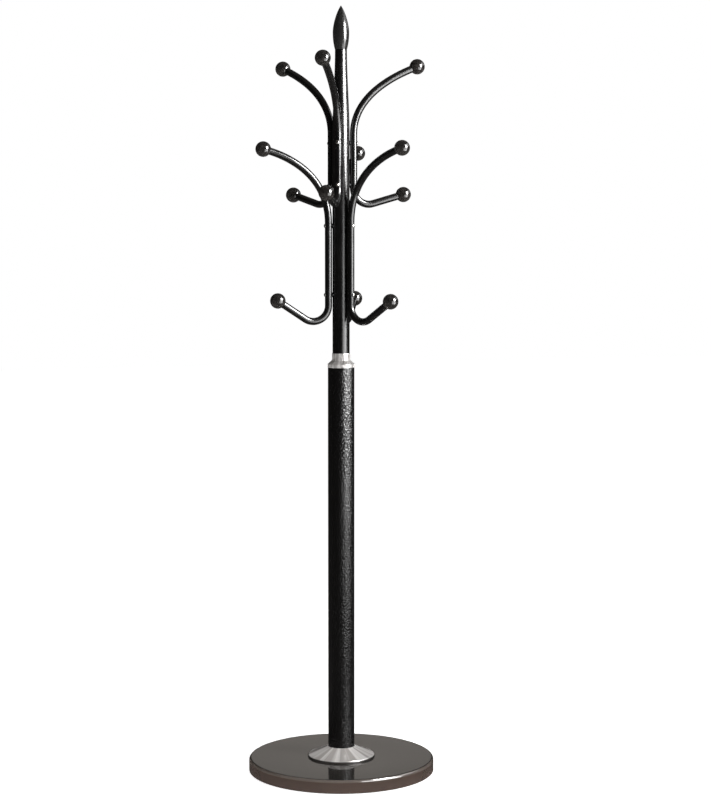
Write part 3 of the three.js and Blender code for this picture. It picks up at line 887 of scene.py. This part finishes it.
class COATRACK_OT_screws(CoatRackOperator, bpy.types.Operator):
    """Make the domed socket screws and the rivet nuts that stand the rods off the pole"""

    bl_idname = "coatrack.screws"
    bl_label = "Screws and Rivet Nuts"

    def execute(self, context):
        rods = context.scene.coat_rack_rods
        nickel = plated_steel(
            "bright_nickel_plate", "#b5b2ad", "#dcdad6", smooth=0.1, rough=0.22, grain=2 * MM,
        )
        zinc = plated_steel(
            "black_zinc_passivate", "#262627", "#3c3c3d", smooth=0.3, rough=0.45, grain=4 * MM,
        )
        head_seat = rods.axis_radius + rods.diameter / 2 + 0.05 * MM
        pole_side = width_of("upper_pole") / 2
        outwards = Matrix.Rotation(math.pi / 2, 4, "Y")
        for number, _, turn in each_rod():
            for kind in ("arm", "hook"):
                level = Matrix.Translation((0, 0, screw_height(kind, number)))
                place = Matrix.Rotation(turn, 4, "Z") @ level @ outwards
                for make, name, seat, finish, node in (
                    (self.make_screw, "socket_screw", head_seat, nickel, "screw"),
                    (self.make_nut, "standoff", pole_side, zinc, "rivet_nut"),
                ):
                    seated = place @ Matrix.Translation((0, 0, seat))
                    make(f"{kind}_{name}_{number}", seated, finish, f"{kind}_{node}_{number}")
        return {"FINISHED"}

    @staticmethod
    def make_screw(name, place, material, node):
        """A button head with a six-sided socket, on a plain shank."""
        head, rise, shank, tail = 4.3 * MM, 2.5 * MM, 2.1 * MM, 22 * MM
        socket, depth, under = 1.5 * MM, 1.3 * MM, -0.3 * MM
        bm = bmesh.new()
        dome = [
            (head * math.cos(math.radians(climb)), rise * math.sin(math.radians(climb)))
            for climb in (0, 15, 30, 45, 58, 66)
        ]
        spin_profile(
            bm, [(0, -tail), (shank, -tail), (shank, under), (head, under), *dome],
            FASTENER_SIDES, closed=False,
        )
        rim = [edge for edge in bm.edges if edge.is_boundary]
        hexagon = bmesh.ops.create_circle(
            bm, cap_ends=False, segments=6, radius=socket,
            matrix=Matrix.Translation((0, 0, dome[-1][1])),
        )["verts"]
        inner = list({edge for vert in hexagon for edge in vert.link_edges})
        bmesh.ops.bridge_loops(bm, edges=rim + inner)
        walls = bmesh.ops.extrude_edge_only(bm, edges=inner)["geom"]
        low = [item for item in walls if isinstance(item, bmesh.types.BMVert)]
        bmesh.ops.translate(bm, verts=low, vec=(0, 0, -depth))
        bmesh.ops.contextual_create(bm, geom=low)
        bmesh.ops.recalc_face_normals(bm, faces=bm.faces)
        move(bm, place)
        make_piece(bm, name, material, "head", "screw_nickel", node)

    @staticmethod
    def make_nut(name, place, material, node):
        """A flanged sleeve: the flange shows between the rod and the pole."""
        bore, body, flange, tail = 2.7 * MM, 3.8 * MM, 5.5 * MM, 9 * MM
        low, high = 0.1 * MM, 2.0 * MM
        inner, outer = 0.2 * MM, 0.3 * MM            # chamfers towards the pole and the rod
        bm = bmesh.new()
        spin_profile(bm, [
            (bore, -tail), (body, -tail), (body, low), (flange - inner, low),
            (flange, low + inner), (flange, high - outer), (flange - outer, high), (bore, high),
        ], FASTENER_SIDES)
        move(bm, place)
        make_piece(bm, name, material, "head", "zinc_fastener", node)


class COATRACK_OT_inner_parts(CoatRackOperator, bpy.types.Operator):
    """Give the carried-over inner parts their finishes"""

    bl_idname = "coatrack.inner_parts"
    bl_label = "Inner Parts"

    def execute(self, context):
        iron = sand_cast_iron()
        zinc = plated_steel(
            "zinc_plated_steel", "#838380", "#aaaaa6", smooth=0.35, rough=0.5, grain=5 * MM,
        )
        nylon = moulded_matt(
            "natural_nylon", "#d9d4c6", "#e6e2d8", smooth=0.45, rough=0.6, grain=2 * MM,
        )
        for material, nodes in (
            (iron, ("base_weight",)),
            (zinc, ("base_bolt", "pole_foot_plug", "head_plug", "pivot_bolt")),
            (nylon, ("swivel_bush", "thrust_washer")),
        ):
            for node in nodes:
                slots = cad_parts[node].data.materials
                slots.clear()
                slots.append(material)
        return {"FINISHED"}


# Area lights: name, degrees to the right of the camera, then in metres the distance from
# the pole, height, width and length, then watts, and whether only the gloss sees it.
AREA_LIGHTS = (
    ("key_softbox", 62, 2.3, 2.05, 0.6, 0.6, 46, False),
    ("key_card", 63, 2.3, 2.22, 1.2, 1.34, 330, True),
    ("right_card", 63, 1.7, 1.4, 0.74, 2.5, 65, True),
    ("inner_card", 38, 1.7, 0.63, 0.85, 1.25, 21, True),
    ("high_card", 104, 5.0, 4.4, 4.0, 3.1, 110, True),
)
SOFTBOX_AIM = 1.2                    # height on the pole that the soft box points at
SENSOR = 36                          # millimetres, what the camera's lens is measured against
FLOOR_HALF = 14                      # metres from the pole to the floor's edge


def towards(stage, degrees=0):
    """The level direction from the pole that is so many degrees to the camera's right."""
    turn = stage.azimuth + math.radians(degrees)
    return Vector((math.sin(turn), -math.cos(turn), 0))


class COATRACK_OT_stage(CoatRackOperator, bpy.types.Operator):
    """Lay the pale floor and set the soft lights and the camera"""

    bl_idname = "coatrack.stage"
    bl_label = "Stage"

    def execute(self, context):
        stage = context.scene.coat_rack_stage
        self.make_floor(context)
        self.make_world(context, stage)
        self.make_area_lights(context, stage)
        self.make_foot_spot(context, stage)
        self.make_camera(context, stage)
        context.scene.view_settings.view_transform = "Standard"
        return {"FINISHED"}

    @staticmethod
    def make_floor(context):
        """A white floor that glows a little, and that the gloss doesn't see."""
        bm = bmesh.new()
        bmesh.ops.create_grid(bm, x_segments=1, y_segments=1, size=FLOOR_HALF)
        mesh = bpy.data.meshes.new("studio_floor")
        bm.to_mesh(mesh)
        bm.free()
        floor = bpy.data.objects.new("studio_floor", mesh)
        context.scene.collection.objects.link(floor)
        material, tree, place = start_material("white_studio_floor")
        cloud = add_node(tree, "TexNoise", {"Vector": place, "Scale": per(400 * MM)})
        mesh.materials.append(end_material(
            material, tree, (cloud, "#fafafa", "#ffffff"), (cloud, 0.85, 0.95),
            Specular_IOR_Level=0.0, Emission_Color="#ffffff", Emission_Strength=0.93,
        ))
        floor.visible_glossy = False

    @staticmethod
    def make_world(context, stage):
        """A studio that the camera sees as plain white. The gloss sees a dark room with a
        pale backdrop behind the rack, a dim ceiling, and faint glows from the left and from
        below."""
        world = bpy.data.worlds.new("studio")
        context.scene.world = world
        world.use_nodes = True
        tree = world.node_tree
        tree.nodes.clear()
        direction = add_node(tree, "TexCoord", output="Generated")
        up = add_node(tree, "SeparateXYZ", [direction], "Z")
        right, back, left = [
            add_node(
                tree, "VectorMath", [direction, towards(stage, side)], "Value",
                operation="DOT_PRODUCT",
            )
            for side in (90, 180, -90)
        ]
        aside = add_node(tree, "Math", [right], operation="ABSOLUTE")
        # How far a direction points one way, the two shares of that which the glow eases
        # between, and its strength at each.
        horizon, behind, narrow, ceiling, left_glow, below = [
            add_node(tree, "MapRange", values, interpolation_type="SMOOTHSTEP")
            for values in (
                (up, 0.0, 0.2, 0, 0.35),
                (back, 0.75, 0.92, 0, 1),
                (aside, 0.22, 0.1, 0, 1),
                (up, 0.55, 0.9, 0, 0.16),
                (left, 0.1, 0.5, 0.005, 0.025),
                (up, -0.5, -0.05, 0.14, 0),
            )
        ]
        gate = add_node(tree, "Math", [behind, narrow], operation="MULTIPLY")
        backdrop = add_node(tree, "Math", [horizon, gate], operation="MULTIPLY")
        sides = add_node(tree, "Math", [left_glow, below], operation="MAXIMUM")
        round_about = add_node(tree, "Math", [backdrop, sides], operation="ADD")
        room = add_node(tree, "Math", [round_about, ceiling], operation="ADD")
        seen = add_node(tree, "LightPath", output="Is Camera Ray")
        strength = add_node(tree, "MapRange", [seen, 0, 1, room, 1])
        warm, white = (1.0, 0.93, 0.86, 1.0), (1.0, 1.0, 1.0, 1.0)
        tone = add_node(
            tree, "Mix", {FACTOR: seen, FIRST: warm, SECOND: white}, MIXED, data_type="RGBA",
        )
        sky = add_node(tree, "Background", {"Color": tone, "Strength": strength})
        add_node(tree, "OutputWorld", {"Surface": sky})

    @staticmethod
    def hang(context, lamp, place, aim):
        """Hangs a lamp at a place, turned to a height on the pole and unseen itself."""
        light = bpy.data.objects.new(lamp.name, lamp)
        light.location = place
        run = Vector((0, 0, aim)) - place
        light.rotation_euler = run.to_track_quat("-Z", "Y").to_euler()
        light.visible_camera = False
        context.scene.collection.objects.link(light)
        return light

    def make_area_lights(self, context, stage):
        """A soft box that lights the rack from the right, and the cards that draw the
        stripes in its gloss."""
        for name, side, distance, height, width, tall, watts, card in AREA_LIGHTS:
            lamp = bpy.data.lights.new(name, "AREA")
            lamp.shape = "RECTANGLE"
            lamp.size = width
            lamp.size_y = tall
            lamp.energy = watts
            place = towards(stage, side) * distance + Vector((0, 0, height))
            light = self.hang(context, lamp, place, height if card else SOFTBOX_AIM)
            light.visible_diffuse = not card

    def make_foot_spot(self, context, stage):
        """A narrow spot from just left of the camera that brightens the flange."""
        side, distance, height = -8, 1.3, 1.5
        lamp = bpy.data.lights.new("foot_spot", "SPOT")
        lamp.energy = 170
        lamp.spot_size = math.radians(9)
        lamp.spot_blend = 1.0
        lamp.shadow_soft_size = 0.15
        place = towards(stage, side) * distance + Vector((0, 0, height))
        light = self.hang(context, lamp, place, 0)
        light.visible_glossy = False

    @staticmethod
    def make_camera(context, stage):
        """The camera, turned a little past the pole and down."""
        data = bpy.data.cameras.new("camera")
        data.lens = stage.lens
        data.sensor_width = SENSOR
        camera = bpy.data.objects.new("camera", data)
        camera.location = towards(stage) * stage.distance + Vector((0, 0, stage.height))
        camera.rotation_euler = (math.pi / 2 - stage.tilt, 0, stage.azimuth - stage.pan)
        context.scene.collection.objects.link(camera)
        context.scene.camera = camera


PIECE_OPERATORS = (
    COATRACK_OT_base_shell,
    COATRACK_OT_flange,
    COATRACK_OT_pads,
    COATRACK_OT_lower_tube,
    COATRACK_OT_collar,
    COATRACK_OT_upper_tube,
    COATRACK_OT_finial,
    COATRACK_OT_rods,
    COATRACK_OT_balls,
    COATRACK_OT_screws,
    COATRACK_OT_inner_parts,
    COATRACK_OT_stage,
)


class COATRACK_PT_pieces(bpy.types.Panel):
    """Lists the coat rack's pieces and their sizes"""

    bl_label = "Coat Rack"
    bl_idname = "COATRACK_PT_pieces"
    bl_space_type = "VIEW_3D"
    bl_region_type = "UI"
    bl_category = "Coat Rack"

    def draw(self, context):
        layout = self.layout
        for operator in PIECE_OPERATORS:
            layout.operator(operator.bl_idname)
        for group in SETTINGS:
            box = layout.box()
            settings = getattr(context.scene, group)
            for name in settings.__annotations__:
                box.prop(settings, name)


SETTINGS = {
    "coat_rack_base": BaseSettings,
    "coat_rack_pole": PoleSettings,
    "coat_rack_rods": RodSettings,
    "coat_rack_stage": StageSettings,
}
CLASSES = (*SETTINGS.values(), *PIECE_OPERATORS, COATRACK_PT_pieces)


def register():
    for cls in CLASSES:
        bpy.utils.register_class(cls)
    for name, group in SETTINGS.items():
        setattr(bpy.types.Scene, name, PointerProperty(type=group))


def unregister():
    for name in SETTINGS:
        delattr(bpy.types.Scene, name)
    for cls in reversed(CLASSES):
        bpy.utils.unregister_class(cls)


def main():
    """Builds the whole rack on its stage."""
    register()
    for operator in PIECE_OPERATORS:
        group, name = operator.bl_idname.split(".")
        getattr(getattr(bpy.ops, group), name)()


if __name__ == "__main__":
    main()
